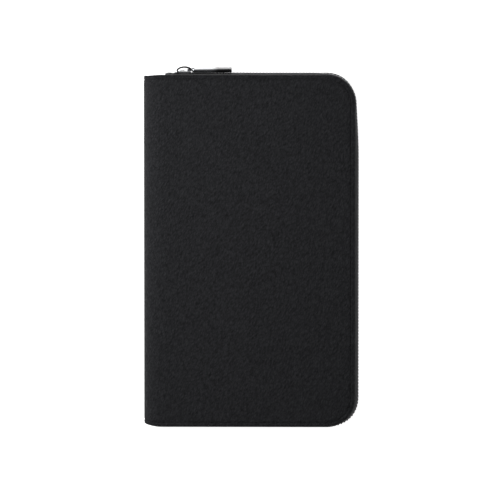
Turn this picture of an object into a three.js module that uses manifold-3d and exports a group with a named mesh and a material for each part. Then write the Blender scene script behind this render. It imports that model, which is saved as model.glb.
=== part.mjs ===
// A zip-around travel document organizer: two padded leather covers joined by a rounded spine,
// closed on the other three sides by a metal zip. It lies on its back cover.
//
// Millimetres. +Z is up through the thickness, +Y runs to the top edge where the zip's slider parks,
// +X runs from the spine to the fore edge. Pieces are drawn with y = 0 halfway up the covers, and the
// last line moves them all so that the origin is the middle of the whole outline.
//
// d is a distance from the outside of the spine towards the fore edge. n is a distance outwards from
// the edge of the covers. Heights z are given for the back half, and the front half mirrors them.

import * as THREE from "three";
import { mergeVertices } from "three/addons/utils/BufferGeometryUtils.js";
import Module from "manifold-3d";

// ---- Driving dimensions ----

const WIDTH = 137.7; // outside of the spine to the covers' fore edge
const HEIGHT = 230;
const THICKNESS = 24;
const CORNER = 18.5; // radius of the covers' two free corners

const LEATHER = 1.3;
const BOARD = 0.6;
const LINING = 0.8;
const LAYER_GAP = 0.1;
const RIM_WIDTH = 1.2; // the turned edge of the cover leather
const RIM_HEIGHT = 2.3;
const PANEL_START = 12.7; // the covers begin here, and the spine ends at its own radius
const SPINE_SHORTER = 1.2; // how far the spine's ends are drawn in from the covers' edges
const SPINE_BOARD_SHORTER = 6;

const TAPE = 0.6;
const TAPE_START = 14;
const TAPE_FLANGE = 9; // how far the tape reaches in between the cover and its lining
const CHAIN_N = -0.35; // middle of the chain
const CHAIN_DEEP = 2.2;
const CHAIN_HALF = 2.65; // from the middle plane to the outside of one row of teeth
const CHAIN_GAP = 0.05;
const FORE_EDGE_BULGE = 1.5; // along the fore edge the chain stands out further

// The chain's run round each corner. It dips inwards by dip over the last DIP_RAMP of the straight
// edge, and eases out to the bulge between from and to, both measured from the start of the corner.
const DIP_RAMP = 8;
const TOP_CORNER = { dip: 0.6, from: 8, to: 66 };
const BOTTOM_CORNER = { dip: 0, from: 0, to: 20 };

const SLIDER_START = 19.8;
const SLIDER_LENGTH = 11.2;
const SLIDER_HALF_WIDTH = 4.2;
const SLIDER_WING = 0.8;
const SLIDER_CLEARANCE = 0.25;
const TEETH_START = SLIDER_START + SLIDER_LENGTH + 1.1;
const TEETH_END = 19; // where the chain ends on the bottom edge, by the spine

// ---- Values worked out from them ----

const CREST_N = CHAIN_N + CHAIN_DEEP / 2;
const SPINE_R = THICKNESS / 2;
const HALF = HEIGHT / 2;
const SPINE_X = -(WIDTH + CREST_N + FORE_EDGE_BULGE) / 2; // outside of the spine
const FORE_X = SPINE_X + WIDTH;
const MIDDLE = THICKNESS / 2;
const LINING_Z = LEATHER + BOARD + 2 * LAYER_GAP;
const POCKET_Z = LINING_Z + LINING + LAYER_GAP;
const ARC_SEGMENTS = 8;

const wasm = await Module();
wasm.setup();

// ---- Materials ----

const paint = (color, roughness, metalness = 0) =>
  new THREE.MeshStandardMaterial({ color, roughness, metalness });
const grainLeather = paint(0x232326, 0.55);
const pocketLeather = paint(0x28282b, 0.6);
const liningCloth = paint(0x313136, 0.85);
const boardCard = paint(0x55504a, 0.9);
const tapeCloth = paint(0x1c1c1f, 0.9);
const zipMetal = paint(0xb9bcc0, 0.25, 1);
const springSteel = paint(0x8d9196, 0.35, 1);

// ---- Shape helpers ----

const at = (d) => SPINE_X + d;
const flip = (side, z) => (side === "back" ? z : THICKNESS - z);

// A copy of a geometry that has its vertices merged, faces outwards and holds positions only.
function closed(geometry) {
  const bare = geometry.index ? geometry.toNonIndexed() : geometry.clone();
  bare.deleteAttribute("normal");
  bare.deleteAttribute("uv");
  const merged = mergeVertices(bare, 1e-4);
  const position = merged.attributes.position;
  const index = merged.index.array;
  const corner = (i) => new THREE.Vector3().fromBufferAttribute(position, index[i]);
  let volume = 0;
  for (let i = 0; i < index.length; i += 3) {
    volume += corner(i).dot(corner(i + 1).cross(corner(i + 2)));
  }
  if (volume < 0) {
    for (let i = 0; i < index.length; i += 3) {
      [index[i + 1], index[i + 2]] = [index[i + 2], index[i + 1]];
    }
  }
  return merged;
}

function toSolid(geometry) {
  const g = closed(geometry);
  return new wasm.Manifold(
    new wasm.Mesh({
      numProp: 3,
      vertProperties: new Float32Array(g.attributes.position.array),
      triVerts: new Uint32Array(g.index.array),
    }),
  );
}

function toGeometry(solid) {
  const mesh = solid.getMesh();
  return new THREE.BufferGeometry()
    .setAttribute("position", new THREE.BufferAttribute(mesh.vertProperties, 3))
    .setIndex(new THREE.BufferAttribute(mesh.triVerts, 1));
}

const join = (...geometries) => toGeometry(geometries.map(toSolid).reduce((a, b) => a.add(b)));
const cut = (geometry, ...tools) =>
  toGeometry(tools.map(toSolid).reduce((a, b) => a.subtract(b), toSolid(geometry)));

// A flat outline in X and Y, given thickness between two heights.
function slab(shape, z0, z1) {
  const low = Math.min(z0, z1);
  const depth = Math.abs(z1 - z0);
  return new THREE.ExtrudeGeometry(shape, {
    depth,
    bevelEnabled: false,
    curveSegments: ARC_SEGMENTS,
  }).translate(0, 0, low);
}

// An outline in X and Z, given thickness between two Y values.
function wall(shape, y0, y1) {
  return new THREE.ExtrudeGeometry(shape, {
    depth: y1 - y0,
    bevelEnabled: false,
    curveSegments: ARC_SEGMENTS,
  })
    .rotateX(Math.PI / 2)
    .translate(0, y1, 0);
}

const box = (x0, x1, y0, y1, z0, z1) =>
  new THREE.BoxGeometry(x1 - x0, y1 - y0, z1 - z0).translate(
    (x0 + x1) / 2,
    (y0 + y1) / 2,
    (z0 + z1) / 2,
  );

// A cover's outline, drawn in by inset on its three free sides, and starting at x0.
function coverOutline(inset, x0) {
  const r = CORNER - inset;
  const x1 = FORE_X - CORNER;
  const y1 = HALF - CORNER;
  const shape = new THREE.Shape();
  shape.moveTo(x0, -HALF + inset);
  shape.lineTo(x1, -HALF + inset);
  shape.absarc(x1, -y1, r, -Math.PI / 2, 0, false);
  shape.absarc(x1, y1, r, 0, Math.PI / 2, false);
  shape.lineTo(x0, HALF - inset);
  shape.closePath();
  return shape;
}

function roundedRectangle(x0, x1, y0, y1, r) {
  const shape = new THREE.Shape();
  shape.moveTo(x0 + r, y0);
  shape.absarc(x1 - r, y0 + r, r, -Math.PI / 2, 0, false);
  shape.absarc(x1 - r, y1 - r, r, 0, Math.PI / 2, false);
  shape.absarc(x0 + r, y1 - r, r, Math.PI / 2, Math.PI, false);
  shape.absarc(x0 + r, y0 + r, r, Math.PI, 1.5 * Math.PI, false);
  return shape;
}

// A pocket panel with a rounded outer bottom corner and a shallow thumb notch in its top edge.
function notchedPanel(x0, x1, y0, y1, r, notchHalf, notchDeep) {
  const middle = (x0 + x1) / 2;
  const shape = new THREE.Shape();
  shape.moveTo(x0, y0);
  shape.absarc(x1 - r, y0 + r, r, -Math.PI / 2, 0, false);
  shape.lineTo(x1, y1);
  shape.lineTo(middle + notchHalf, y1);
  shape.bezierCurveTo(
    middle + notchHalf / 2,
    y1 - notchDeep,
    middle - notchHalf / 2,
    y1 - notchDeep,
    middle - notchHalf,
    y1,
  );
  shape.lineTo(x0, y1);
  shape.closePath();
  return shape;
}

// ---- The zip's path: along the top edge, round the fore edge and back along the bottom edge ----

const smooth = (t) => {
  const c = Math.min(1, Math.max(0, t));
  return c * c * (3 - 2 * c);
};

// Stations round one corner, from the free edge at d to the fore edge. Each has its outward
// direction and how far the chain dips inwards there.
function cornerPath(d, side, { dip, from, to }) {
  const cornerX = FORE_X - CORNER;
  const cornerY = HALF - CORNER;
  const arc = (CORNER * Math.PI) / 2;
  const steps = 4;
  const station = (x, y, angle, along) => {
    const eased = smooth((along - from) / (to - from));
    const cutIn = dip * smooth(1 + along / DIP_RAMP);
    return {
      x,
      y: side * y,
      nx: Math.cos(angle),
      ny: side * Math.sin(angle),
      dip: cutIn * (1 - eased) - FORE_EDGE_BULGE * eased,
    };
  };
  const path = [station(at(d), HALF, Math.PI / 2, at(d) - cornerX)];
  for (let i = steps; i > 0; i--) {
    const before = (DIP_RAMP * i) / steps;
    path.push(station(cornerX - before, HALF, Math.PI / 2, -before));
  }
  for (let i = 0; i <= ARC_SEGMENTS; i++) {
    const angle = (Math.PI / 2) * (1 - i / ARC_SEGMENTS);
    const x = cornerX + CORNER * Math.cos(angle);
    const y = cornerY + CORNER * Math.sin(angle);
    path.push(station(x, y, angle, (arc * i) / ARC_SEGMENTS));
  }
  for (let i = 1; i <= steps && to > arc; i++) {
    const past = ((to - arc) * i) / steps;
    path.push(station(FORE_X, cornerY - past, 0, arc + past));
  }
  return path;
}

const edgePath = (startD, endD) => [
  ...cornerPath(startD, 1, TOP_CORNER),
  ...cornerPath(endD, -1, BOTTOM_CORNER).reverse(),
];

// A closed profile of [n, z, give] corners swept along the edge. give is the share of the dip a corner takes.
function sweep(path, corners) {
  const turns = THREE.ShapeUtils.isClockWise(corners.map(([n, z]) => new THREE.Vector2(n, z)));
  const profile = turns ? [...corners].reverse() : corners;
  const count = profile.length;
  const positions = [];
  for (const p of path) {
    for (const [n, z, give] of profile) {
      const out = n - p.dip * give;
      positions.push(p.x + p.nx * out, p.y + p.ny * out, z);
    }
  }
  const index = [];
  for (let s = 0; s < path.length - 1; s++) {
    for (let i = 0; i < count; i++) {
      const a = s * count + i;
      const b = s * count + ((i + 1) % count);
      index.push(a, b, a + count, b, b + count, a + count);
    }
  }
  const outline = profile.map(([n, z]) => new THREE.Vector2(n, z));
  const last = (path.length - 1) * count;
  for (const [a, b, c] of THREE.ShapeUtils.triangulateShape(outline, [])) {
    index.push(a, c, b, last + a, last + b, last + c);
  }
  return new THREE.BufferGeometry()
    .setAttribute("position", new THREE.Float32BufferAttribute(positions, 3))
    .setIndex(index);
}

// ---- Covers ----

function coverLeather(side) {
  const whole = slab(coverOutline(0, at(PANEL_START)), flip(side, 0), flip(side, RIM_HEIGHT));
  const hollow = slab(
    coverOutline(RIM_WIDTH, at(PANEL_START) - 1),
    flip(side, LEATHER),
    flip(side, RIM_HEIGHT + 1),
  );
  return cut(whole, hollow);
}

function coverBoard(side) {
  const shape = coverOutline(TAPE_FLANGE + 0.5, at(PANEL_START + 0.3));
  const z0 = LEATHER + LAYER_GAP;
  return slab(shape, flip(side, z0), flip(side, z0 + BOARD));
}

function coverLining(side) {
  const shape = coverOutline(2.9, at(PANEL_START + 0.3));
  return slab(shape, flip(side, LINING_Z), flip(side, LINING_Z + LINING));
}

// ---- Spine: layers of a half round tube that opens towards the fore edge ----

function spineLayer(outer, inner, halfAngle, shorter) {
  const shape = new THREE.Shape();
  const x = at(SPINE_R);
  shape.absarc(x, MIDDLE, outer, Math.PI - halfAngle, Math.PI + halfAngle, false);
  shape.absarc(x, MIDDLE, inner, Math.PI + halfAngle, Math.PI - halfAngle, true);
  const y = HALF - shorter;
  return new THREE.ExtrudeGeometry(shape, {
    depth: 2 * y,
    bevelEnabled: false,
    curveSegments: 2 * ARC_SEGMENTS,
  })
    .rotateX(Math.PI / 2)
    .translate(0, y, 0);
}

// ---- Zip tapes, teeth and stops ----

// The middle line of the tape's section: sewn in under the lining, then out round the cover's edge to the teeth.
const TAPE_LINE = [
  [-TAPE_FLANGE, 1.7, 0],
  [-2.6, 1.7, 0],
  [-1.9, 2.2, 0],
  [-1.6, 3.1, 0.1],
  [-1.0, 4.7, 0.5],
  [-0.5, 6.0, 0.85],
  [CHAIN_N, 7.2, 1],
  [CHAIN_N, MIDDLE - CHAIN_HALF - CHAIN_GAP, 1],
];

function tape(side) {
  const left = [];
  const right = [];
  TAPE_LINE.forEach(([n, z, give], i) => {
    const [pn, pz] = TAPE_LINE[Math.max(0, i - 1)];
    const [qn, qz] = TAPE_LINE[Math.min(TAPE_LINE.length - 1, i + 1)];
    const length = Math.hypot(qn - pn, qz - pz);
    const sn = (-(qz - pz) / length) * (TAPE / 2);
    const sz = ((qn - pn) / length) * (TAPE / 2);
    left.push([n + sn, flip(side, z + sz), give]);
    right.push([n - sn, flip(side, z - sz), give]);
  });
  return sweep(edgePath(TAPE_START, TAPE_START), [...left, ...right.reverse()]);
}

// One row of teeth as the plain bar that the row fills.
function teethRow(side) {
  const z0 = flip(side, MIDDLE - CHAIN_HALF);
  const z1 = flip(side, MIDDLE - CHAIN_GAP);
  const profile = [
    [CREST_N - CHAIN_DEEP, z0, 1],
    [CREST_N, z0, 1],
    [CREST_N, z1, 1],
    [CREST_N - CHAIN_DEEP, z1, 1],
  ];
  return sweep(edgePath(TEETH_START, TEETH_END), profile);
}

const STOP_D = 15;
const STOP_LENGTH = 3.4;

function zipStop(side, d0, d1, direction) {
  const z = [flip(side, MIDDLE - 2.4), flip(side, MIDDLE - 0.3)].sort((a, b) => a - b);
  const y = [
    direction * (HALF + CREST_N - CHAIN_DEEP),
    direction * (HALF + CREST_N),
  ].sort((a, b) => a - b);
  return box(at(d0), at(d1), y[0], y[1], z[0], z[1]);
}

// ---- Slider: two wings joined by a post, with flanges that leave a slot for each tape ----

const WING_OUT = HALF + CREST_N + SLIDER_CLEARANCE; // inner face of the outer wing
const WING_IN = HALF + CREST_N - CHAIN_DEEP - SLIDER_CLEARANCE; // inner face of the inner wing
const SLOT_HALF = TAPE / 2 + 0.35;
const FLANGE_Z = CHAIN_HALF + 0.3;

function wingOutline() {
  const x0 = at(SLIDER_START);
  const x1 = x0 + SLIDER_LENGTH;
  const w = SLIDER_HALF_WIDTH;
  const narrow = w - 0.5;
  const shape = new THREE.Shape();
  shape.moveTo(x0 + 1.6, MIDDLE - w);
  shape.lineTo(x1 - 1.2, MIDDLE - narrow);
  shape.quadraticCurveTo(x1, MIDDLE - narrow, x1, MIDDLE - narrow + 1.2);
  shape.lineTo(x1, MIDDLE + narrow - 1.2);
  shape.quadraticCurveTo(x1, MIDDLE + narrow, x1 - 1.2, MIDDLE + narrow);
  shape.lineTo(x0 + 1.6, MIDDLE + w);
  shape.quadraticCurveTo(x0, MIDDLE + w, x0 + 0.3, MIDDLE + 1.6);
  shape.quadraticCurveTo(x0 + 1.2, MIDDLE, x0 + 0.3, MIDDLE - 1.6);
  shape.quadraticCurveTo(x0, MIDDLE - w, x0 + 1.6, MIDDLE - w);
  return shape;
}

function sliderBody() {
  const x0 = at(SLIDER_START);
  const x1 = x0 + SLIDER_LENGTH;
  const slot0 = HALF + CHAIN_N - SLOT_HALF;
  const slot1 = HALF + CHAIN_N + SLOT_HALF;
  const outer = wall(wingOutline(), WING_OUT, WING_OUT + SLIDER_WING);
  const inner = wall(wingOutline(), WING_IN - SLIDER_WING, WING_IN);
  const lap = 0.2;
  const flanges = [-1, 1].flatMap((s) => {
    const z = [MIDDLE + s * FLANGE_Z, MIDDLE + s * (SLIDER_HALF_WIDTH - 0.5)];
    z.sort((a, b) => a - b);
    return [
      box(x0 + 3.4, x1 - 1.2, slot1, WING_OUT + lap, z[0], z[1]),
      box(x0 + 3.4, x1 - 1.2, WING_IN - lap, slot0, z[0], z[1]),
    ];
  });
  const postShape = new THREE.Shape();
  postShape.moveTo(x0 + 0.9, MIDDLE);
  postShape.lineTo(x0 + 2, MIDDLE - 1);
  postShape.lineTo(x0 + 4.6, MIDDLE);
  postShape.lineTo(x0 + 2, MIDDLE + 1);
  const post = wall(postShape, WING_IN - lap, WING_OUT + lap);
  return join(outer, inner, ...flanges, post);
}

// ---- Crown: the arched bridge over the outer wing that holds the pull ----

const CROWN_FOOT = WING_OUT + SLIDER_WING + 0.05;
const CROWN_D = SLIDER_START + 6.7; // its middle
const CROWN_HALF_LENGTH = 5.3;
const CROWN_RISE = 3.05;
const CROWN_THICK = 1.1;
const CROWN_WIDTH = 2.4;

function crown() {
  const shape = new THREE.Shape();
  const x = at(CROWN_D);
  const inner = CROWN_HALF_LENGTH - CROWN_THICK;
  shape.absellipse(x, CROWN_FOOT, CROWN_HALF_LENGTH, CROWN_RISE, 0, Math.PI, false);
  shape.absellipse(x, CROWN_FOOT, inner, CROWN_RISE - CROWN_THICK, Math.PI, 0, true);
  return new THREE.ExtrudeGeometry(shape, {
    depth: CROWN_WIDTH,
    bevelEnabled: false,
    curveSegments: 2 * ARC_SEGMENTS,
  }).translate(0, 0, MIDDLE - CROWN_WIDTH / 2);
}

// The leaf spring under the crown that locks the slider when the pull lies flat.
function lockSpring() {
  const x0 = at(CROWN_D - 3.2);
  return box(x0, x0 + 3.4, CROWN_FOOT + 0.1, CROWN_FOOT + 0.5, MIDDLE - 0.7, MIDDLE + 0.7);
}

// ---- Pull tab: a slim bar with a narrower eye that loops through the crown ----

const PULL_X = at(CROWN_D + 2); // axis of the eye's bar
const PULL_Y = CROWN_FOOT + 0.8;
const PULL_HALF_WIDTH = 3.3;
const PULL_LENGTH = 28.8;
const PULL_TILT = 0.012; // radians, rising away from the slider
const PULL_ROLL = 0.14; // radians about its length, its outer face leaning towards the front cover
const EYE_THICK = 0.8;
const EYE_OUTER_HALF = 2.6;
const EYE_HOLE_HALF = 1.6;
const EYE_LENGTH = 4.4;
const GRIP_START = 3;
const GRIP_BELOW = 1.5; // its faces, below and above the axis
const GRIP_ABOVE = 0.8;

// Drawn with the eye's axis through the origin, then turned by its roll and tilt and put in place.
// The hole runs on into the grip, which straddles the end of the crown.
function pullTab() {
  const bar = EYE_THICK / 2;
  const eye = roundedRectangle(-bar, GRIP_START + 1, -EYE_OUTER_HALF, EYE_OUTER_HALF, bar);
  const grip = roundedRectangle(GRIP_START, PULL_LENGTH, -PULL_HALF_WIDTH, PULL_HALF_WIDTH, 1.2);
  const hole = box(bar, EYE_LENGTH, -2, 2, -EYE_HOLE_HALF, EYE_HOLE_HALF);
  return cut(join(wall(eye, -bar, bar), wall(grip, -GRIP_BELOW, GRIP_ABOVE)), hole)
    .rotateX(PULL_ROLL)
    .rotateZ(PULL_TILT)
    .translate(PULL_X, PULL_Y, MIDDLE);
}

// ---- Pockets ----

const PANEL = 0.7;
const CARD_PANEL = 0.5;
const CARD_SLOTS = 5;
const CARD_STEP = 12;
const CARD_LAYER = 0.55;
const POCKET_END = 134;
const POCKET_LOW = -111;

// A pocket's panel stands off the lining by the height of what it holds.
function pocket(side, shape, z0, thick) {
  return slab(shape, flip(side, z0), flip(side, z0 + thick));
}

const PEN_D = 22;
const PEN_OUTER = 5.2;
const PEN_WALL = 0.8;

function penLoop() {
  const shape = new THREE.Shape();
  const z = POCKET_Z + PEN_OUTER;
  shape.absarc(at(PEN_D), z, PEN_OUTER, 0, 2 * Math.PI, false);
  const hole = new THREE.Path();
  hole.absarc(at(PEN_D), z, PEN_OUTER - PEN_WALL, 0, 2 * Math.PI, true);
  shape.holes.push(hole);
  return wall(shape, 26, 56);
}

// ---- Assembly ----

const organizer = new THREE.Group();

function add(name, geometry, material) {
  const mesh = new THREE.Mesh(closed(geometry), material);
  mesh.name = name;
  organizer.add(mesh);
}

for (const side of ["back", "front"]) {
  add(`${side}_cover_leather`, coverLeather(side), grainLeather);
  add(`${side}_board`, coverBoard(side), boardCard);
  add(`${side}_lining`, coverLining(side), liningCloth);
  add(`${side}_zip_tape`, tape(side), tapeCloth);
  add(`${side}_zip_teeth`, teethRow(side), zipMetal);
  add(`${side}_top_stop`, zipStop(side, STOP_D, STOP_D + STOP_LENGTH, 1), zipMetal);
  add(`${side}_bottom_stop`, zipStop(side, STOP_D, STOP_D + STOP_LENGTH, -1), zipMetal);
}

const spineLeather = spineLayer(SPINE_R, SPINE_R - LEATHER, Math.PI / 2, SPINE_SHORTER);
const spineBoard = spineLayer(SPINE_R - 1.4, SPINE_R - 2, Math.PI / 4, SPINE_BOARD_SHORTER);
const spineLining = spineLayer(SPINE_R - 2.1, SPINE_R - 2.9, Math.PI / 2, SPINE_SHORTER);
add("spine_leather", spineLeather, grainLeather);
add("spine_board", spineBoard, boardCard);
add("spine_lining", spineLining, liningCloth);

const ticketPanel = notchedPanel(at(29), at(POCKET_END), POCKET_LOW, 94, CORNER - 4, 16, 9);
add("ticket_pocket", pocket("back", ticketPanel, POCKET_Z + 0.4, PANEL), pocketLeather);

const CARD_Z = POCKET_Z + 0.4 + PANEL + LAYER_GAP;
for (let i = 0; i < CARD_SLOTS; i++) {
  const panel = roundedRectangle(at(34), at(130), -100, 2 - i * CARD_STEP, 2);
  const z0 = CARD_Z + i * CARD_LAYER;
  add(`card_slot_${i + 1}`, pocket("back", panel, z0, CARD_PANEL), pocketLeather);
}

const documentPanel = notchedPanel(at(17), at(POCKET_END), POCKET_LOW, 90, CORNER - 4, 16, 9);
add("document_pocket", pocket("front", documentPanel, POCKET_Z + 0.4, PANEL), pocketLeather);

const passportPanel = notchedPanel(at(22), at(130), -104, 26, 10, 14, 10);
add("passport_pocket", pocket("front", passportPanel, POCKET_Z + 1.6, PANEL), pocketLeather);

add("pen_loop", penLoop(), pocketLeather);
add("slider_body", sliderBody(), zipMetal);
add("slider_crown", crown(), zipMetal);
add("slider_lock_spring", lockSpring(), springSteel);
add("pull_tab", pullTab(), zipMetal);

// The origin is the middle of the outline, which the crown stretches past the top edge.
organizer.position.y = -(CROWN_FOOT + CROWN_RISE - HALF - CREST_N) / 2;

export default organizer;
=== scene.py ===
"""The looks of a zip-around travel document organizer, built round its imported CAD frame.

Metres, in the row frame: +X from the spine to the fore edge, +Y to the top edge, +Z from the back
cover up to the front cover. Lengths written in millimetres are multiplied by MM.

Each half of the organizer is worked out on a flat pattern. u runs along the pattern from the middle
of the spine to the fore edge, y up it, and h is the depth below the cover's outer face. s runs along
the pattern's free edge, from the top of the spine round to the bottom of it, and n is the distance
off that edge, outwards. "back" is the half that lies on the floor, and the "front" half mirrors it
about the middle plane.
"""

import math

import bmesh
import bpy
import numpy as np
from mathutils import Matrix, Vector, noise
from mathutils.geometry import delaunay_2d_cdt


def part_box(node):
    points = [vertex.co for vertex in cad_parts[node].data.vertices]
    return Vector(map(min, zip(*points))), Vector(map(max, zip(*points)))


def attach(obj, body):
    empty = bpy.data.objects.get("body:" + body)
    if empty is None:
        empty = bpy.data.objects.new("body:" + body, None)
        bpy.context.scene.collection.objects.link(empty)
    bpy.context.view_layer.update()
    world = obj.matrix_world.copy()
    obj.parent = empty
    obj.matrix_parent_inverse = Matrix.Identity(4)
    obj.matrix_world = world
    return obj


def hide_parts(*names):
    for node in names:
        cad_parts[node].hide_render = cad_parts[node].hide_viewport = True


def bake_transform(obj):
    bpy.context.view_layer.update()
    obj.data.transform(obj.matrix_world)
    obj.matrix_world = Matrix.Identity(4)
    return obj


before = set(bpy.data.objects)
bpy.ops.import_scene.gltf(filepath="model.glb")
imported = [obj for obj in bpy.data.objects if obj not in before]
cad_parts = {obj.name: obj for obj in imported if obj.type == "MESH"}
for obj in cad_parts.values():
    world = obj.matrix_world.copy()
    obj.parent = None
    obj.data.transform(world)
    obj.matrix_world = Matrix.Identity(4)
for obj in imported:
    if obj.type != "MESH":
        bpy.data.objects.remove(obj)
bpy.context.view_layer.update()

MM = 0.001

# ---- The frame's own sizes ----

COVER_LOW, COVER_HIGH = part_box("front_cover_leather")
SPINE_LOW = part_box("spine_leather")[0]

THICKNESS = COVER_HIGH[2]
SPINE_R = THICKNESS / 2
SPINE_X = SPINE_LOW[0]
ARC_X = SPINE_X + SPINE_R
FORE_X = COVER_HIGH[0]
HALF = (COVER_HIGH[1] - COVER_LOW[1]) / 2
MID_Y = (COVER_HIGH[1] + COVER_LOW[1]) / 2
CORNER = 18.5 * MM

# ---- The flat pattern of one half: half the spine, then the cover ----

SPINE_U = SPINE_R * math.pi / 2
WIDTH_U = SPINE_U + FORE_X - ARC_X
EDGE_STRAIGHT = WIDTH_U - CORNER
EDGE_ARC = CORNER * math.pi / 2
EDGE_SIDE = 2 * (HALF - CORNER)
EDGE_LENGTH = 2 * (EDGE_STRAIGHT + EDGE_ARC) + EDGE_SIDE
SPINE_SHORTER = 1.2 * MM  # the leather's ends at the spine are drawn in by this much
BACK_SHORTER = 1.2 * MM  # and in the back half by this much more, once past the ramp below
BACK_SHORTER_RAMP = 6 * MM
DRAWN_IN_TO = SPINE_U + 7.5 * MM  # the back half's edge is back on the outline from here
DRAWN_IN_RAMP = 5 * MM
RIPPLE = 0.16 * MM  # how far the covers' faces sink here and there
RIPPLE_PER_METRE = (22, 16)
RIPPLE_SEED = {"back": 3.7, "front": 9.1}
RIPPLE_SPINE_RAMP = 20 * MM
RIPPLE_EDGE_RAMP = 12 * MM


def smooth(t):
    """0 below 0, 1 above 1, with an eased step between."""
    t = min(1.0, max(0.0, t))
    return t * t * (3 - 2 * t)


def u_of(x):
    """The pattern's u at a place x on the cover."""
    return SPINE_U + x - ARC_X


def flip(side, z):
    """A height above the back cover's outer face, or its mirror image in the front half."""
    return z if side == "back" else THICKNESS - z


def drawn_in(side, u):
    """How far a half's top and bottom edges are drawn in from the cover's outline at u."""
    if side == "front":
        return SPINE_SHORTER * math.sin(max(0.0, (SPINE_U - u) / SPINE_R)) ** 2
    deep = SPINE_SHORTER + BACK_SHORTER * smooth(u / BACK_SHORTER_RAMP)
    return deep * smooth((DRAWN_IN_TO - u) / DRAWN_IN_RAMP)


def place(side, u, y, h):
    """Where the point u, y of the flat pattern lies, h below the outer face."""
    across, up = RIPPLE_PER_METRE
    ripple = 0.5 + 0.5 * noise.noise(Vector((u * across, y * up, RIPPLE_SEED[side])))
    fade = smooth((u - SPINE_U) / RIPPLE_SPINE_RAMP) * smooth((WIDTH_U - u) / RIPPLE_EDGE_RAMP)
    h = h + RIPPLE * ripple * fade
    angle = max(0.0, (SPINE_U - u) / SPINE_R)
    y = y * (1 - drawn_in(side, u) / HALF)
    if u < SPINE_U:
        x = ARC_X - (SPINE_R - h) * math.sin(angle)
        z = SPINE_R - (SPINE_R - h) * math.cos(angle)
    else:
        x = ARC_X + u - SPINE_U
        z = h
    return Vector((x, MID_Y + y, flip(side, z)))


def edge_station(s):
    """The point at s on the pattern's free edge, and the direction off the edge there."""
    if s > EDGE_LENGTH / 2:
        point, out = edge_station(EDGE_LENGTH - s)
        return Vector((point.x, -point.y)), Vector((out.x, -out.y))
    if s < EDGE_STRAIGHT:
        return Vector((s, HALF)), Vector((0, 1))
    s -= EDGE_STRAIGHT
    if s < EDGE_ARC:
        out = Vector((math.sin(s / CORNER), math.cos(s / CORNER)))
        return Vector((EDGE_STRAIGHT, HALF - CORNER)) + CORNER * out, out
    return Vector((WIDTH_U, HALF - CORNER - (s - EDGE_ARC))), Vector((1, 0))


def spread(start, end, step):
    """Evenly spaced values from start to end, about a step apart."""
    return list(np.linspace(start, end, max(1, round((end - start) / step)) + 1))


def edge_steps(start=0.0, straight_step=4 * MM):
    """Values of s along the free edge, close together round the spine and the corners."""
    spine_step = 1 * MM
    corner_step = 1.2 * MM
    half = spread(start, SPINE_U, spine_step)[:-1] if start < SPINE_U else []
    half += spread(max(start, SPINE_U), EDGE_STRAIGHT, straight_step)[:-1]
    half += spread(EDGE_STRAIGHT, EDGE_STRAIGHT + EDGE_ARC, corner_step)[:-1]
    side = spread(EDGE_STRAIGHT + EDGE_ARC, EDGE_LENGTH - EDGE_STRAIGHT - EDGE_ARC, straight_step)
    return half + side + [EDGE_LENGTH - s for s in reversed(half)]


# ---- Mesh helpers ----


def new_object(name, verts, faces, material, sharp=35):
    """A smooth-shaded mesh object with its normals outwards and its sharp edges marked."""
    mesh = bpy.data.meshes.new(name)
    mesh.from_pydata([tuple(v) for v in verts], [], faces)
    bm = bmesh.new()
    bm.from_mesh(mesh)
    bmesh.ops.recalc_face_normals(bm, faces=bm.faces)
    bm.to_mesh(mesh)
    bm.free()
    for polygon in mesh.polygons:
        polygon.use_smooth = True
    mesh.set_sharp_from_angle(angle=math.radians(sharp))
    mesh.materials.append(material)
    thing = bpy.data.objects.new(name, mesh)
    bpy.context.scene.collection.objects.link(thing)
    return thing


def fill(outline, spacing):
    """Inner points and triangles that fill a closed outline, with staggered rows of points inside it."""
    row_step = 0.87 * spacing
    clear_of_edge = 0.55 * spacing
    count = len(outline)
    low = np.min([tuple(p) for p in outline], axis=0)
    high = np.max([tuple(p) for p in outline], axis=0)
    ring = np.array([tuple(p) for p in outline])
    nxt = np.roll(ring, -1, axis=0)
    grid = []
    for row, y in enumerate(np.arange(low[1] + spacing / 2, high[1], row_step)):
        for x in np.arange(low[0] + spacing * (0.5 if row % 2 else 1.0), high[0], spacing):
            along = nxt - ring
            t = np.sum((np.array([x, y]) - ring) * along, axis=1) / np.sum(along**2, axis=1)
            foot = ring + np.clip(t, 0, 1)[:, None] * along
            if np.min(np.linalg.norm(foot - np.array([x, y]), axis=1)) > clear_of_edge:
                grid.append(Vector((x, y)))
    points = [Vector(p) for p in outline] + grid
    done = delaunay_2d_cdt(points, [], [list(range(count))], 1, 1e-7)
    where, triangles, origin = done[0], done[2], done[3]
    index = [o[0] if o else None for o in origin]
    inner = []
    for i, o in enumerate(index):
        if o is None or o >= count:
            index[i] = count + len(inner)
            inner.append(where[i])
    return inner, [[index[i] for i in t] for t in triangles]


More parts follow.
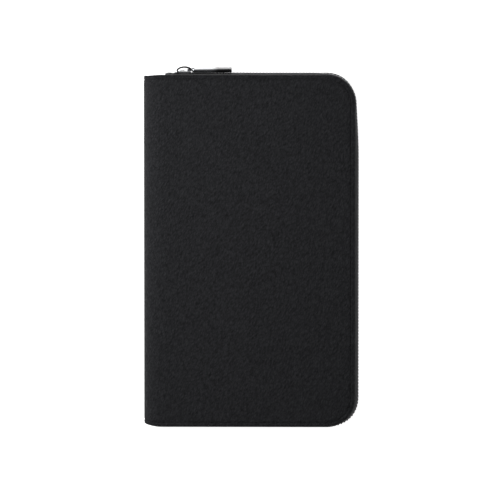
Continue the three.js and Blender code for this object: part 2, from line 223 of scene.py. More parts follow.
def plate(name, stations, profile, put, material, spacing, is_open=False):
    """A flat pattern with thickness: rings of the profile's (n, h) round the outline, then both faces.

    stations are (point, direction off the edge) pairs, and put turns pattern u, y, h into a place.
    An open outline is closed by a straight wall from its last station back to its first.
    """
    count = len(stations)
    verts = []
    for n, h in profile:
        for point, out in stations:
            verts.append(put(point.x + n * out.x, point.y + n * out.y, h))
    faces = []
    for r in range(len(profile) - 1):
        for j in range(count - 1 if is_open else count):
            k = (j + 1) % count
            faces.append([r * count + j, r * count + k, (r + 1) * count + k, (r + 1) * count + j])
    walls = []
    for r in (0, len(profile) - 1):
        n, h = profile[r]
        outline = [point + n * out for point, out in stations]
        ids = [r * count + j for j in range(count)]
        if is_open:
            steps = max(1, round((outline[0] - outline[-1]).length / spacing))
            wall = [outline[-1].lerp(outline[0], i / steps) for i in range(1, steps)]
            outline += wall
            wall_ids = [len(verts) + i for i in range(len(wall))]
            verts += [put(p.x, p.y, h) for p in wall]
            ids += wall_ids
            walls.append(wall_ids)
        inner, triangles = fill(outline, spacing)
        ids += [len(verts) + i for i in range(len(inner))]
        verts += [put(p.x, p.y, h) for p in inner]
        faces += [[ids[i] for i in t] for t in triangles]
    if is_open:
        starts = [r * count for r in range(len(profile))]
        ends = [r * count + count - 1 for r in range(len(profile))]
        faces.append(ends + walls[1] + starts[::-1] + walls[0][::-1])
    return new_object(name, verts, faces, material)


def joined(parts):
    """Several (verts, faces) lists as one."""
    verts, faces = [], []
    for part_verts, part_faces in parts:
        faces += [[i + len(verts) for i in f] for f in part_faces]
        verts += part_verts
    return verts, faces


def tube(rings, closed_ends=True):
    """Rings of points, all of one length, joined into a tube."""
    count = len(rings[0])
    verts = [p for ring in rings for p in ring]
    faces = []
    for r in range(len(rings) - 1):
        for i in range(count):
            k = (i + 1) % count
            a, b = r * count, (r + 1) * count
            faces.append([a + i, a + k, b + k, b + i])
    if closed_ends:
        faces.append(list(range(count))[::-1])
        faces.append([(len(rings) - 1) * count + i for i in range(count)])
    return verts, faces


def inset(outline, distance):
    """A closed anticlockwise outline moved inwards."""
    count = len(outline)
    moved = []
    for i, p in enumerate(outline):
        before = (p - outline[i - 1]).normalized()
        after = (outline[(i + 1) % count] - p).normalized()
        normal = Vector((-(before.y + after.y), before.x + after.x))
        normal /= max(normal.length_squared / 2, 0.35)
        moved.append(p + normal * distance)
    return moved


def prism(outline, low, high, bevel, put):
    """A closed outline with thickness from low to high and rounded edges. put places (a, b, height)."""
    rings = []
    steps = (0.0, 0.3, 1.0)
    for share in steps:
        angle = share * math.pi / 2
        shape = inset(outline, bevel * (1 - math.sin(angle)))
        rings.append([put(p.x, p.y, low + bevel * (1 - math.cos(angle))) for p in shape])
    for share in reversed(steps):
        angle = share * math.pi / 2
        shape = inset(outline, bevel * (1 - math.sin(angle)))
        rings.append([put(p.x, p.y, high - bevel * (1 - math.cos(angle))) for p in shape])
    return tube(rings)


def arc_points(centre, radius, start, end, steps):
    """Points of an arc, its angles in degrees."""
    x, y = centre
    angles = np.radians(np.linspace(start, end, steps + 1))
    return [Vector((x + radius * math.cos(a), y + radius * math.sin(a))) for a in angles]


def rounded_box(x0, x1, y0, y1, radii, steps=5):
    """A rectangle with rounded corners, anticlockwise from the bottom right. radii go the same way."""
    corners = ((x1, y0, -1, 1, -90), (x1, y1, -1, -1, 0), (x0, y1, 1, -1, 90), (x0, y0, 1, 1, 180))
    points = []
    for (x, y, sx, sy, angle), r in zip(corners, radii):
        points += arc_points((x + sx * r, y + sy * r), r, angle, angle + 90, steps)
    return points


# ---- Materials ----


class Nodes:
    """A short way to write a material's node tree."""

    def __init__(self, name):
        self.material = bpy.data.materials.new(name)
        self.material.use_nodes = True
        self.tree = self.material.node_tree
        self.shader = self.tree.nodes["Principled BSDF"]

    def add(self, kind, inputs=None, **settings):
        node = self.tree.nodes.new(kind)
        for key, value in settings.items():
            setattr(node, key, value)
        for key, value in (inputs or {}).items():
            if isinstance(value, bpy.types.NodeSocket):
                self.tree.links.new(value, node.inputs[key])
            else:
                node.inputs[key].default_value = value
        return node

    def set(self, **inputs):
        for key, value in inputs.items():
            socket = self.shader.inputs[key.replace("_", " ")]
            if isinstance(value, bpy.types.NodeSocket):
                self.tree.links.new(value, socket)
            else:
                socket.default_value = value

    def position(self):
        return self.add("ShaderNodeTexCoord").outputs["Object"]

    def math(self, operation, a, b, c=0.0):
        node = self.add("ShaderNodeMath", {0: a, 1: b, 2: c}, operation=operation)
        return node.outputs[0]

    def remap(self, value, low, high, to_low, to_high):
        inputs = {"Value": value}
        inputs.update({"From Min": low, "From Max": high, "To Min": to_low, "To Max": to_high})
        return self.add("ShaderNodeMapRange", inputs).outputs["Result"]

    def noise(self, vector, scale, detail=3.0, roughness=0.5):
        inputs = {"Vector": vector, "Scale": scale, "Detail": detail, "Roughness": roughness}
        return self.add("ShaderNodeTexNoise", inputs).outputs["Fac"]

    def mix(self, factor, a, b):
        node = self.add("ShaderNodeMix", data_type="RGBA")
        self.tree.links.new(factor, node.inputs["Factor"])
        node.inputs["A"].default_value = (*a, 1)
        node.inputs["B"].default_value = (*b, 1)
        return node.outputs["Result"]

    def bump(self, height, distance):
        return self.add("ShaderNodeBump", {"Height": height, "Distance": distance}).outputs["Normal"]


GRAIN_SLANT = math.radians(28)
GRAIN_STRETCH = (1.0, 0.4, 1.0)


def grain_leather(name, dark, light, cell, depth, roughness, gloss):
    """Pebbled leather: rounded cells drawn out along one slant, fine creases, slow changes of tone. The
    colour darkens towards the cells' edges: painted shade in the creases.
    """
    n = Nodes(name)
    where = n.position()
    turned = n.add("ShaderNodeMapping", {"Vector": where, "Rotation": (0.0, 0.0, GRAIN_SLANT)})
    inputs = {"Vector": turned.outputs[0], "Scale": GRAIN_STRETCH}
    drawn_out = n.add("ShaderNodeMapping", inputs).outputs[0]
    warp = n.add("ShaderNodeTexNoise", {"Vector": drawn_out, "Scale": 0.5 / cell}).outputs["Color"]
    centred = n.add("ShaderNodeVectorMath", {0: warp, 1: (0.5, 0.5, 0.5)}, operation="SUBTRACT")
    push = n.add("ShaderNodeVectorMath", {0: centred.outputs[0], "Scale": cell}, operation="SCALE")
    warped = n.add("ShaderNodeVectorMath", {0: drawn_out, 1: push.outputs[0]}, operation="ADD")
    inputs = {"Vector": warped.outputs[0], "Scale": 1 / cell}
    cells = n.add("ShaderNodeTexVoronoi", inputs, feature="DISTANCE_TO_EDGE")
    pebble = n.math("POWER", n.remap(cells.outputs["Distance"], 0.0, 0.35, 0.0, 1.0), 0.6)
    folds = n.noise(drawn_out, 0.95 / cell, 2.0, 0.5)
    pores = n.noise(where, 5.0 / cell, 2.0, 0.6)
    height = n.math("MULTIPLY_ADD", folds, 1.3, n.math("MULTIPLY_ADD", pores, 0.2, pebble))
    slow = n.noise(where, 26.0, 3.0, 0.55)
    # tone: darker towards the pebbles' edges, which is painted shade in the creases, and varying at
    # random with the folds
    tone = n.math("MULTIPLY_ADD", pebble, 0.6, n.remap(folds, 0.3, 0.7, -0.1, 0.5))
    worn = n.math("MULTIPLY_ADD", slow, 0.6, pores)
    n.set(
        Base_Color=n.mix(tone, dark, light),
        Roughness=n.remap(worn, 0.4, 1.2, roughness - 0.06, roughness + 0.08),
        Specular_IOR_Level=gloss,
        Normal=n.bump(height, depth),
    )
    return n.material


def smooth_leather(name, dark, light, roughness, gloss):
    """Smooth calf leather: very fine pores, faint long wrinkles."""
    n = Nodes(name)
    where = n.position()
    pores = n.noise(where, 2600.0, 2.0, 0.6)
    wrinkles = n.noise(where, 240.0, 4.0, 0.6)
    height = n.math("MULTIPLY_ADD", wrinkles, 1.4, pores)
    n.set(
        Base_Color=n.mix(n.remap(wrinkles, 0.3, 0.7, 0.0, 1.0), dark, light),
        Roughness=n.remap(pores, 0.3, 0.7, roughness - 0.05, roughness + 0.07),
        Specular_IOR_Level=gloss,
        Normal=n.bump(height, 0.05 * MM),
    )
    return n.material


WAVE_PERIOD = 0.314  # a wave texture of scale 1 repeats after this many metres


def woven(name, dark, light, thread, slant):
    """Woven cloth: ribs across a slant, broken up by the crossing threads."""
    n = Nodes(name)
    where = n.position()
    turned = n.add("ShaderNodeMapping", {"Vector": where, "Rotation": (0, 0, slant)})
    inputs = {"Vector": turned.outputs[0], "Scale": WAVE_PERIOD / thread}
    waves = [n.add("ShaderNodeTexWave", inputs, bands_direction=axis).outputs["Fac"] for axis in "XYZ"]
    ribs, across, upright = waves
    crossing = n.math("MULTIPLY_ADD", upright, 0.5, across)
    weave = n.math("MULTIPLY_ADD", crossing, 0.45, ribs)
    fuzz = n.noise(where, 900.0, 3.0, 0.7)
    tone = n.remap(n.math("MULTIPLY_ADD", fuzz, 0.8, weave), 0.4, 2.0, 0.0, 1.0)
    n.set(
        Base_Color=n.mix(tone, dark, light),
        Roughness=n.remap(fuzz, 0.3, 0.7, 0.79, 0.91),
        Specular_IOR_Level=0.15,
        Sheen_Weight=0.15,
        Sheen_Roughness=0.5,
        Normal=n.bump(n.math("MULTIPLY_ADD", fuzz, 0.3, weave), thread * 0.35),
    )
    return n.material


def thread_material(name, dark, light):
    """Waxed sewing thread: a fine twist, a little shine."""
    n = Nodes(name)
    where = n.position()
    turned = n.add("ShaderNodeMapping", {"Vector": where, "Rotation": (0.4, 0.3, 0.8)})
    inputs = {"Vector": turned.outputs[0], "Scale": 1800.0, "Distortion": 1.0}
    twist = n.add("ShaderNodeTexWave", inputs).outputs["Fac"]
    n.set(
        Base_Color=n.mix(twist, dark, light),
        Roughness=n.remap(n.noise(where, 1500.0), 0.3, 0.7, 0.6, 0.78),
        Specular_IOR_Level=0.15,
        Normal=n.bump(twist, 0.05 * MM),
    )
    return n.material


def polished_metal(name, dark, light, roughness, scratch):
    """Plated metal: nearly a mirror, with faint smears and hairline scratches."""
    n = Nodes(name)
    where = n.position()
    smear = n.noise(where, 260.0, 4.0, 0.6)
    stretched = n.add("ShaderNodeMapping", {"Vector": where, "Scale": (0.06, 1.0, 1.0)})
    lines = n.noise(stretched.outputs[0], 9000.0, 2.0, 0.7)
    n.set(
        Base_Color=n.mix(n.remap(smear, 0.35, 0.65, 0.0, 1.0), dark, light),
        Metallic=1.0,
        Roughness=n.remap(smear, 0.3, 0.7, roughness - 0.04, roughness + 0.06),
        Normal=n.bump(lines, scratch),
    )
    return n.material


def pull_metal_painted_dark_end(name, bright, dark, start, end):
    """Plated metal with a painted dark reflection: it turns dark between two places along X, towards the
    pull's free end.
    """
    n = Nodes(name)
    where = n.position()
    smear = n.noise(where, 260.0, 4.0, 0.6)
    along = n.add("ShaderNodeSeparateXYZ", {0: where}).outputs["X"]
    # Bright to dark along X: the dark end is a painted dark reflection, and the smears are real tone
    tone = n.math("MULTIPLY_ADD", smear, 0.2, n.remap(along, start, end, 0.0, 0.85))
    n.set(
        Base_Color=n.mix(tone, bright, dark),
        Metallic=1.0,
        Roughness=n.remap(smear, 0.3, 0.7, 0.08, 0.18),
        Normal=n.bump(n.noise(where, 3000.0, 2.0, 0.7), 0.002 * MM),
    )
    return n.material


def pulp_board(name):
    """Grey-brown pulp board with flecks."""
    n = Nodes(name)
    where = n.position()
    flecks = n.noise(where, 900.0, 5.0, 0.7)
    n.set(
        Base_Color=n.mix(n.remap(flecks, 0.3, 0.7, 0.0, 1.0), (0.16, 0.13, 0.10), (0.28, 0.25, 0.21)),
        Roughness=n.remap(flecks, 0.3, 0.7, 0.85, 0.95),
        Normal=n.bump(flecks, 0.05 * MM),
    )
    return n.material


def floor_material():
    """A plain white table top, lit a little from below."""
    n = Nodes("pale_floor")
    patches = n.noise(n.position(), 2.0, 2.0)
    n.set(
        Base_Color=n.mix(patches, (0.68, 0.68, 0.68), (0.70, 0.70, 0.70)),
        Roughness=0.8,
        Specular_IOR_Level=0.05,
        Emission_Color=(1, 1, 1, 1),
        Emission_Strength=0.9,
    )
    return n.material


LEATHER = grain_leather(
    "grain_leather", (0.0076, 0.0078, 0.0085), (0.0256, 0.0260, 0.0283), 1.0 * MM, 0.24 * MM, 0.64, 0.03
)
POCKET = smooth_leather("pocket_leather", (0.018, 0.018, 0.020), (0.030, 0.030, 0.033), 0.48, 0.35)
LINING = woven("lining_cloth", (0.022, 0.022, 0.026), (0.060, 0.060, 0.068), 0.55 * MM, math.radians(45))
TAPE = woven("zip_tape_cloth", (0.007, 0.007, 0.008), (0.025, 0.025, 0.027), 0.6 * MM, 0.0)
THREAD = thread_material("black_thread", (0.006, 0.006, 0.0066), (0.018, 0.018, 0.020))
METAL = polished_metal("zip_metal", (0.52, 0.53, 0.55), (0.66, 0.67, 0.69), 0.12, 0.002 * MM)
# The teeth and the stops are silver, given a dark colour: painted dark reflections and shade.
TEETH_METAL_PAINTED_DARK = polished_metal("zip_teeth_metal", (0.085, 0.085, 0.09), (0.16, 0.16, 0.17), 0.24, 0.002 * MM)
# The crown is the slider's chrome with a near-black colour: a painted dark reflection.
CROWN_PAINTED_DARK_REFLECTION = polished_metal("crown_metal", (0.03, 0.03, 0.031), (0.06, 0.06, 0.062), 0.14, 0.002 * MM)
PULL_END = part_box("pull_tab")[1].x
# Where the painted dark reflection on the pull's free end fades in
PULL_PAINTED_DARK_REFLECTION = (PULL_END - 13 * MM, PULL_END - 9 * MM)
PULL = pull_metal_painted_dark_end("pull_metal_painted_dark_end", (0.50, 0.51, 0.53), (0.06, 0.06, 0.062), *PULL_PAINTED_DARK_REFLECTION)
SPRING = polished_metal("spring_steel", (0.40, 0.41, 0.43), (0.52, 0.53, 0.55), 0.3, 0.004 * MM)
BOARD = pulp_board("pulp_board")


def across_spine(piece, side):
    """Bakes a piece's place into its mesh. The point at the spine's edge that it works out is not used.
    """
    edge = (ARC_X, MID_Y, flip(side, 0))
    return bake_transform(piece)


# ---- Outer leather: each cover with its half of the spine, one skin with a turned edge ----

STITCH_IN = 2.8 * MM
STITCH_PITCH = 2.85 * MM
STITCH_GAP = 0.24  # share of the pitch between two stitches
STITCH_R = 0.27 * MM
STITCH_LIFT = 0.1 * MM
STITCH_SLANT = 0.35
GROOVE_DEEP = 0.46 * MM
SKIN_SPACING = 5 * MM

# Sections through the free edge, as (n, h) in millimetres. The leather's goes along the outer face,
# through the groove of the stitches and the crease, round the turned edge and back along the inside.
LEATHER_PROFILE = [
    (-8, 0), (-5, 0), (-3.6, 0.03), (-3.3, 0.14), (-3.06, 0.4), (-2.8, 0.5), (-2.54, 0.4),
    (-2.3, 0.14), (-2.0, 0.02), (-1.6, 0.02), (-1.36, 0.1), (-1.2, 0.3), (-1.04, 0.12),
    (-0.8, 0.05), (-0.5, 0.14),
    (-0.25, 0.36), (-0.08, 0.7), (0, 1.1), (0, 1.6), (-0.12, 2.0), (-0.4, 2.24), (-0.8, 2.3),
    (-1.1, 2.15), (-1.2, 1.8), (-1.25, 1.45), (-1.7, 1.3), (-8, 1.3),
]
LINING_PROFILE = [
    (-8, 2.1), (-3.4, 2.12), (-3.0, 2.25), (-2.9, 2.5), (-3.0, 2.72), (-3.3, 2.86), (-4, 2.9), (-8, 2.9),
]


def in_metres(profile):
    """A section's pairs, turned from millimetres into metres."""
    return [(n * MM, h * MM) for n, h in profile]


def skin(name, side, profile, material):
    """One half's leather or lining, from the middle of the spine to the fore edge."""
    stations = [edge_station(s) for s in edge_steps()]

    def put(u, y, h):
        return place(side, u, y, h)

    piece = plate(name, stations, in_metres(profile), put, material, SKIN_SPACING, is_open=True)
    return across_spine(piece, side)


def thread_loop(centre, along, across, length, put):
    """One stitch: a short tube that rises out of one hole and dips into the next."""
    rings = []
    for i in range(7):
        t = i / 3 - 1
        bow = 1 - t * t
        middle = centre + along * (t * length / 2)
        thick = STITCH_R * (0.55 + 0.45 * bow)
        ring = []
        for k in range(6):
            angle = k * math.pi / 3
            p = middle + across * (thick * math.cos(angle))
            height = STITCH_LIFT * bow - (1 - bow) * 1.4 * STITCH_R + thick * math.sin(angle)
            ring.append(put(p.x, p.y, -height))
        rings.append(ring)
    return tube(rings)


def stitch_row(points, put, slant):
    """Stitches at an even pitch along a line of pattern points, each a little slanted."""
    line = np.array([tuple(p) for p in points])
    steps = np.linalg.norm(np.diff(line, axis=0), axis=1)
    at = np.concatenate([[0], np.cumsum(steps)])
    count = int(at[-1] / STITCH_PITCH)
    parts = []
    for i in range(count):
        s = (i + 0.5) * at[-1] / count
        ahead = [np.interp(s + 0.5 * MM, at, line[:, k]) for k in (0, 1)]
        behind = [np.interp(s - 0.5 * MM, at, line[:, k]) for k in (0, 1)]
        centre = Vector([np.interp(s, at, line[:, k]) for k in (0, 1)])
        along = Vector((ahead[0] - behind[0], ahead[1] - behind[1])).normalized()
        along.rotate(Matrix.Rotation(slant, 2))
        across = Vector((-along.y, along.x))
        parts.append(thread_loop(centre, along, across, STITCH_PITCH * (1 - STITCH_GAP), put))
    return parts


def cover_stitches(side):
    """The stitches round a cover's free edge, from one end of the spine to the other."""
    line = []
    for s in spread(0, EDGE_LENGTH, 0.5 * MM):
        point, out = edge_station(s)
        line.append(point - STITCH_IN * out)

    def put(u, y, h):
        return place(side, u, y, h + GROOVE_DEEP)

    slant = STITCH_SLANT if side == "front" else -STITCH_SLANT
    verts, faces = joined(stitch_row(line, put, slant))
    piece = new_object(f"{side}_cover_stitches", verts, faces, THREAD)
    return across_spine(piece, side)


for side in ("back", "front"):
    leather = skin(f"{side}_leather_skin", side, LEATHER_PROFILE, LEATHER)
    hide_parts(f"{side}_cover_leather", "spine_leather")
    cloth = skin(f"{side}_lining_cloth", side, LINING_PROFILE, LINING)
    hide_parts(f"{side}_lining", "spine_lining")
    cover_stitches(side)

# ---- Zip: the line of the chain ----

TAPE_S = SPINE_U + 2 * MM  # s at the tape's ends
CHAIN_N = -0.35 * MM  # n of the chain's middle line
CHAIN_DEEP = 2.2 * MM
TOOTH_PITCH = 2.15 * MM
SLIDER_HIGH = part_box("slider_body")[1]
TEETH_LOW, TEETH_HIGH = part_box("back_zip_teeth")
FORE_EDGE_BULGE = TEETH_HIGH[0] - FORE_X - CHAIN_N - CHAIN_DEEP / 2

# The chain's run round a corner: how far it dips inwards over the last DIP_RAMP of the straight edge,
# and where it eases out to the fore edge's bulge, measured from the start of the corner.
DIP_RAMP = 8 * MM
TOP_CORNER = (0.6 * MM, 8 * MM, 66 * MM)
BOTTOM_CORNER = (0.0, 0.0, 20 * MM)


def chain_dip(s):
    """How far the zipped chain cuts inside the cover's edge at s."""
    dip, start, end = BOTTOM_CORNER if s > EDGE_LENGTH / 2 else TOP_CORNER
    along = min(s, EDGE_LENGTH - s) - EDGE_STRAIGHT
    eased = smooth((along - start) / (end - start))
    return dip * smooth(1 + along / DIP_RAMP) * (1 - eased) - FORE_EDGE_BULGE * eased


def zip_point(s, n, z, give=1.0):
    """A point of the zip at s along the edge, n off it and z high. give is its share of the dip."""
    point, out = edge_station(s)
    off = n - chain_dip(s) * give
    return Vector((ARC_X + point.x - SPINE_U + out.x * off, MID_Y + point.y + out.y * off, z))


# The tape's section in millimetres: n, height above the outer face, share of the chain's dip it follows.
# The bead's rows have half its width as well.
TAPE_LINE = [
    (-9, 1.7, 0), (-6, 1.7, 0), (-2.9, 1.7, 0), (-2.3, 1.85, 0), (-1.95, 2.2, 0), (-1.75, 2.7, 0.05),
    (-1.55, 3.3, 0.15), (-1.25, 4.1, 0.35), (-0.95, 4.9, 0.55), (-0.65, 5.7, 0.78),
    (-0.42, 6.6, 0.95), (-0.35, 7.4, 1), (-0.35, 8.6, 1),
]
TAPE_BEAD = [
    (-0.35, 9.0, 1, 0.42), (-0.35, 9.4, 1, 0.62), (-0.35, 9.9, 1, 0.62), (-0.35, 10.3, 1, 0.4),
]
TAPE_THICK = 0.5


def zip_tape(side):
    """The woven tape: sewn in under the lining, out past the turned edge and up to the teeth."""
    sheet = []
    for i, (n, z, give) in enumerate(TAPE_LINE):
        pn, pz = TAPE_LINE[max(0, i - 1)][:2]
        qn, qz = TAPE_LINE[min(len(TAPE_LINE) - 1, i + 1)][:2]
        length = math.hypot(qn - pn, qz - pz)
        sheet.append((n, z, give, -(qz - pz) / length, (qn - pn) / length, TAPE_THICK / 2))
    sheet += [(n, z, give, -1.0, 0.0, wide) for n, z, give, wide in TAPE_BEAD]
    left = [(n + sn * w, z + sz * w, give) for n, z, give, sn, sz, w in sheet]
    right = [(n - sn * w, z - sz * w, give) for n, z, give, sn, sz, w in sheet]
    profile = left + right[::-1]
    rings = []
    for s in edge_steps(TAPE_S, 3 * MM):
        tucked = drawn_in(side, min(s, EDGE_LENGTH - s))
        ring = []
        for n, z, give in profile:
            ring.append(zip_point(s, n * MM - tucked * (1 - give), flip(side, z * MM), give))
        rings.append(ring)
    verts, faces = tube(rings)
    return new_object(f"{side}_zip_tape_cloth", verts, faces, TAPE, sharp=50)


# ---- Zip: teeth, one by one ----

# A tooth seen along the chain, as (height above the middle plane, n) in millimetres.
TOOTH_SIDE = [
    (-2.65, -1.0), (-2.5, -1.1), (-0.7, -1.1), (0.15, -0.86), (0.62, -0.45), (0.7, 0),
    (0.62, 0.45), (0.15, 0.86), (-0.7, 1.1), (-2.5, 1.1), (-2.65, 1.0), (-2.62, 0.72),
    (-1.55, 0.68), (-1.35, 0.4), (-1.35, -0.4), (-1.55, -0.68), (-2.62, -0.72),
]
TOOTH_HALF_WIDTH = 0.5 * MM
TOOTH_BEVEL = 0.14 * MM
FIRST_TOOTH = {"back": 0.25, "front": 0.75}  # share of the pitch, so that the rows mesh
TEETH_PAST_SLIDER = 1.2 * MM


def chain_line(s0, s1):
    """The chain's middle line as arrays: s, and length along it."""
    steps = np.array(spread(s0, s1, 0.25 * MM))
    points = np.array([tuple(zip_point(s, CHAIN_N, 0)) for s in steps])
    lengths = np.linalg.norm(np.diff(points, axis=0), axis=1)
    return steps, np.concatenate([[0], np.cumsum(lengths)])


def tooth(side, s):
    """One tooth: two legs that grip the tape's bead, and a rounded head past the middle plane."""
    centre = zip_point(s, CHAIN_N, SPINE_R)
    near = 0.4 * MM
    ahead = zip_point(s + near, CHAIN_N, SPINE_R)
    behind = zip_point(s - near, CHAIN_N, SPINE_R)
    along = (ahead - behind).normalized()
    out = Vector((-along.y, along.x, 0))
    if out.dot(edge_station(s)[1].to_3d()) < 0:
        out = -out
    up = 1 if side == "back" else -1
    outline = [Vector((z * MM, n * MM)) for z, n in TOOTH_SIDE]

    def put(z, n, t):
        return centre + Vector((0, 0, up * z)) + out * n + along * t

    return prism(outline, -TOOTH_HALF_WIDTH, TOOTH_HALF_WIDTH, TOOTH_BEVEL, put)


def teeth(side):
    """A row of teeth. The front row is half a pitch on from the back row."""
    start = u_of(SLIDER_HIGH[0]) + TEETH_PAST_SLIDER
    end = EDGE_LENGTH - u_of(TEETH_LOW[0])
    steps, lengths = chain_line(start, end)
    count = int(lengths[-1] / TOOTH_PITCH)
    places = [np.interp((i + FIRST_TOOTH[side]) * TOOTH_PITCH, lengths, steps) for i in range(count)]
    verts, faces = joined([tooth(side, s) for s in places])
    return new_object(f"{side}_zip_teeth_row", verts, faces, TEETH_METAL_PAINTED_DARK, sharp=40)


for side in ("back", "front"):
    cloth = zip_tape(side)
    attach(cloth, f"{side}_half")
    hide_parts(f"{side}_zip_tape")
    row = teeth(side)
    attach(row, f"{side}_half")
    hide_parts(f"{side}_zip_teeth")

# ---- Boards: the CAD nodes stay, sealed between leather and lining ----

for node in ("back_board", "front_board", "spine_board"):
    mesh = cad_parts[node].data
    mesh.materials.clear()
    mesh.materials.append(BOARD)

# ---- Metal pieces: the CAD shapes with their flat faces made whole and every edge rounded ----


SAME_POINT = 0.001 * MM
SAME_PLANE = math.radians(2)
ROUNDED_FROM = math.radians(30)
SHADED_SHARP_FROM = math.radians(32)


def rounded_metal(name, node, material, edge):
    """A copy of a CAD node's shape with its edges rounded off, edge wide."""
    mesh = bpy.data.meshes.new(name)
    bm = bmesh.new()
    bm.from_mesh(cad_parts[node].data)
    bmesh.ops.remove_doubles(bm, verts=bm.verts, dist=SAME_POINT)
    bmesh.ops.dissolve_limit(bm, angle_limit=SAME_PLANE, verts=bm.verts, edges=bm.edges)
    corners = [e for e in bm.edges if e.is_manifold and e.calc_face_angle() > ROUNDED_FROM]
    bmesh.ops.bevel(
        bm, geom=corners, offset=edge, segments=3, profile=0.5, affect="EDGES", clamp_overlap=True
    )
    bmesh.ops.triangulate(bm, faces=[f for f in bm.faces if len(f.verts) > 4])
    bmesh.ops.recalc_face_normals(bm, faces=bm.faces)
    bm.to_mesh(mesh)
    bm.free()
    for polygon in mesh.polygons:
        polygon.use_smooth = True
    mesh.set_sharp_from_angle(angle=SHADED_SHARP_FROM)
    mesh.materials.append(material)
    piece = bpy.data.objects.new(name, mesh)
    bpy.context.scene.collection.objects.link(piece)
    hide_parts(node)
    return piece


# Name, CAD node, body, material and the width of the rounded edges in millimetres.
METAL_PIECES = [
    ("slider_body_metal", "slider_body", "slider", METAL, 0.26),
    ("slider_crown_metal", "slider_crown", "slider", CROWN_PAINTED_DARK_REFLECTION, 0.16),
    ("slider_lock_spring_leaf", "slider_lock_spring", "slider", SPRING, 0.08),
    ("pull_tab_metal", "pull_tab", "pull", PULL, 0.22),
    ("back_top_stop_metal", "back_top_stop", "back_half", TEETH_METAL_PAINTED_DARK, 0.35),
    ("front_top_stop_metal", "front_top_stop", "front_half", TEETH_METAL_PAINTED_DARK, 0.35),
    ("back_bottom_stop_metal", "back_bottom_stop", "back_half", TEETH_METAL_PAINTED_DARK, 0.35),
    ("front_bottom_stop_metal", "front_bottom_stop", "front_half", TEETH_METAL_PAINTED_DARK, 0.35),
]

for name, node, body, material, edge in METAL_PIECES:
    piece = rounded_metal(name, node, material, edge * MM)
    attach(piece, body)

# ---- Pockets: cut leather panels with a creased border, sewn on at the sides and the bottom ----

# A panel's upper half section, as (n, h) in millimetres: a creased border and a rounded edge.
PANEL_PROFILE = [
    (-1.9, 0), (-1.35, 0.0), (-1.15, 0.07), (-0.95, 0.0), (-0.4, 0.02), (-0.14, 0.08), (0, 0.24),
]
PANEL_STITCH_IN = 2.3 * MM
PANEL_STITCH_DEEP = 0.06 * MM
PANEL_STITCH_SLANT = 0.2
UNSEWN_TOP = 2 * MM  # the stitches stop this far below a panel's top
PANEL_SPACING = 8 * MM


def stations_of(outline):
    """Each point of a closed anticlockwise outline, with its mitre outwards as one vector."""
    moved = inset(outline, -1.0)
    return [(p, q - p) for p, q in zip(outline, moved)]


def notched_outline(low, high, radius, notch_half, notch_deep):
    """A panel with a rounded outer bottom corner and a shallow thumb notch in its top edge.

    The notch is a cubic curve, three quarters of notch_deep deep.
    """
    middle = (low.x + high.x) / 2
    points = [Vector((low.x, low.y))]
    points += arc_points((high.x - radius, low.y + radius), radius, -90, 0, 10)
    points.append(Vector((high.x, high.y)))
    for t in np.linspace(0, 1, 15):
        across = (1 - t) ** 3 + 1.5 * t * (1 - t) ** 2 - 1.5 * t**2 * (1 - t) - t**3
        points.append(Vector((middle + notch_half * across, high.y - 3 * notch_deep * t * (1 - t))))
    points.append(Vector((low.x, high.y)))
    return points


def panel_faces(side, low, high):
    """Turns x, y and a depth below the face that shows into a place."""
    if side == "back":
        return lambda x, y, h: Vector((x, y, high.z - h))
    return lambda x, y, h: Vector((x, y, low.z + h))


def panel(name, side, outline, low, high):
    """A leather panel in the place of its CAD node."""
    thick = high.z - low.z
    top = in_metres(PANEL_PROFILE)
    profile = top + [(n, thick - h) for n, h in reversed(top)]
    return plate(name, stations_of(outline), profile, panel_faces(side, low, high), POCKET, PANEL_SPACING)


def u_line(low, high, radius):
    """The line of stitches down one side of a panel, along its bottom and up the other side."""
    left = low.x + PANEL_STITCH_IN
    right = high.x - PANEL_STITCH_IN
    bottom = low.y + PANEL_STITCH_IN
    top = high.y - UNSEWN_TOP
    corner = arc_points((high.x - radius, low.y + radius), radius - PANEL_STITCH_IN, -90, 0, 8)
    return [Vector((left, top)), Vector((left, bottom))] + corner + [Vector((right, top))]


def panel_stitches(name, side, lines, low, high):
    """Stitches along lines on a panel's face."""
    face = panel_faces(side, low, high)

    def put(x, y, h):
        return face(x, y, h + PANEL_STITCH_DEEP)

    parts = []
    for line in lines:
        parts += stitch_row(line, put, PANEL_STITCH_SLANT)
    verts, faces = joined(parts)
    piece = new_object(name, verts, faces, THREAD)
    return piece


# CAD node, half, radius of the rounded corner, and the notch's half width and depth.
NOTCHED_PANELS = [
    ("ticket_pocket", "back", CORNER - 4 * MM, 16 * MM, 9 * MM),
    ("document_pocket", "front", CORNER - 4 * MM, 16 * MM, 9 * MM),
    ("passport_pocket", "front", 10 * MM, 14 * MM, 10 * MM),
]

for node, side, radius, notch_half, notch_deep in NOTCHED_PANELS:
    low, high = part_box(node)
    outline = notched_outline(low, high, radius, notch_half, notch_deep)
    leather = panel(f"{node}_leather", side, outline, low, high)
    sewn = u_line(low, high, radius)
    thread = panel_stitches(f"{node}_stitches", side, [sewn], low, high)
    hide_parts(node)
    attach(leather, f"{side}_half")
    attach(thread, f"{side}_half")

CARD_CORNER = 2 * MM
CARD_STEP = 12 * MM
CARD_SLOTS = 5

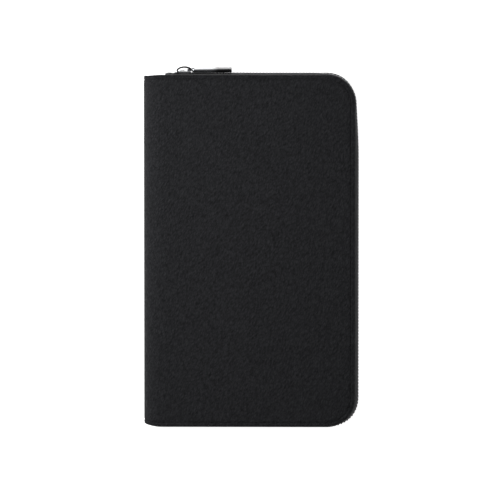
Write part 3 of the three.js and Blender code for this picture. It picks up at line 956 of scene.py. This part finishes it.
for i in range(1, CARD_SLOTS + 1):
    low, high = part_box(f"card_slot_{i}")
    outline = rounded_box(low.x, high.x, low.y, high.y, [CARD_CORNER] * 4)
    leather = panel(f"card_slot_{i}_leather", "back", outline, low, high)
    if i == CARD_SLOTS:
        lines = [u_line(low, high, CARD_CORNER + PANEL_STITCH_IN)]
    else:
        ends = (high.y - UNSEWN_TOP, high.y - CARD_STEP + 0.5 * MM)
        sides = (low.x + PANEL_STITCH_IN, high.x - PANEL_STITCH_IN)
        lines = [[Vector((x, y)) for y in ends] for x in sides]
    thread = panel_stitches(f"card_slot_{i}_stitches", "back", lines, low, high)
    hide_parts(f"card_slot_{i}")
    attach(leather, "back_half")
    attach(thread, "back_half")

# ---- Pen loop: a short round sleeve with rounded edges ----


def pen_loop():
    """The sleeve, its section turned once round its middle line."""
    turns = 40
    low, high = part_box("pen_loop")
    centre = Vector(((low.x + high.x) / 2, 0, (low.z + high.z) / 2))
    outer = (high.x - low.x) / 2
    wall = 0.8 * MM
    soft = 0.3 * MM
    section = rounded_box(outer - wall, outer, low.y, high.y, [soft] * 4, steps=3)
    rings = []
    for angle in np.linspace(0, 2 * math.pi, turns + 1)[:-1]:
        direction = Vector((math.cos(angle), 0, math.sin(angle)))
        rings.append([centre + direction * p.x + Vector((0, p.y, 0)) for p in section])
    verts, faces = tube(rings, closed_ends=False)
    count = len(section)
    last = (len(rings) - 1) * count
    faces += [[last + i, last + (i + 1) % count, (i + 1) % count, i] for i in range(count)]
    return new_object("pen_loop_leather", verts, faces, POCKET)


loop = pen_loop()
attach(loop, "back_half")
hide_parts("pen_loop")

# ---- Floor, light and camera ----


def make_floor():
    """A flat square under the organizer."""
    half = 3.0
    mesh = bpy.data.meshes.new("floor")
    corners = [(-half, -half, 0), (half, -half, 0), (half, half, 0), (-half, half, 0)]
    mesh.from_pydata(corners, [], [(0, 1, 2, 3)])
    mesh.materials.append(floor_material())
    floor = bpy.data.objects.new("floor", mesh)
    bpy.context.scene.collection.objects.link(floor)


def area_light(name, place_at, size, power):
    """A soft box that points at the frame's origin."""
    data = bpy.data.lights.new(name, "AREA")
    data.shape = "RECTANGLE"
    data.size, data.size_y = size
    data.energy = power
    lamp = bpy.data.objects.new(name, data)
    lamp.location = place_at
    lamp.rotation_mode = "QUATERNION"
    lamp.rotation_quaternion = (-Vector(place_at)).to_track_quat("-Z", "Y")
    bpy.context.scene.collection.objects.link(lamp)


def make_lights():
    """A dim room, a soft box above the spine side and a big one far out on the fore edge side."""
    world = bpy.data.worlds.new("studio")
    bpy.context.scene.world = world
    world.use_nodes = True
    background = world.node_tree.nodes["Background"]
    background.inputs["Color"].default_value = (1, 1, 1, 1)
    background.inputs["Strength"].default_value = 0.16
    area_light("key", (-0.34, 0.17, 0.42), (0.3, 0.3), 3.5)
    area_light("fill", (1.5, -0.1, 0.55), (0.8, 1.2), 8)


CAMERA_AIM = Vector((-0.7 * MM, MID_Y + 1.0 * MM, THICKNESS))
CAMERA_DISTANCE = 5.0
CAMERA_TO_FORE_EDGE = math.radians(0.9)
CAMERA_TO_TOP = math.radians(5.4)
VIEW_WIDTH = 325.1 * MM


def make_camera():
    """A long lens almost straight above the front cover, a little towards the top and the fore edge."""
    data = bpy.data.cameras.new("camera")
    data.sensor_width = 36
    data.lens = data.sensor_width * CAMERA_DISTANCE / VIEW_WIDTH
    data.clip_start, data.clip_end = 0.05, 20
    camera = bpy.data.objects.new("camera", data)
    back = Vector((math.tan(CAMERA_TO_FORE_EDGE), math.tan(CAMERA_TO_TOP), 1)).normalized()
    right = Vector((0, 1, 0)).cross(back).normalized()
    up = back.cross(right)
    turn = Matrix((right, up, back)).transposed().to_4x4()
    camera.matrix_world = Matrix.Translation(CAMERA_AIM + back * CAMERA_DISTANCE) @ turn
    bpy.context.scene.collection.objects.link(camera)
    bpy.context.scene.camera = camera


make_floor()
make_lights()
make_camera()
bpy.context.scene.view_settings.view_transform = "Standard"
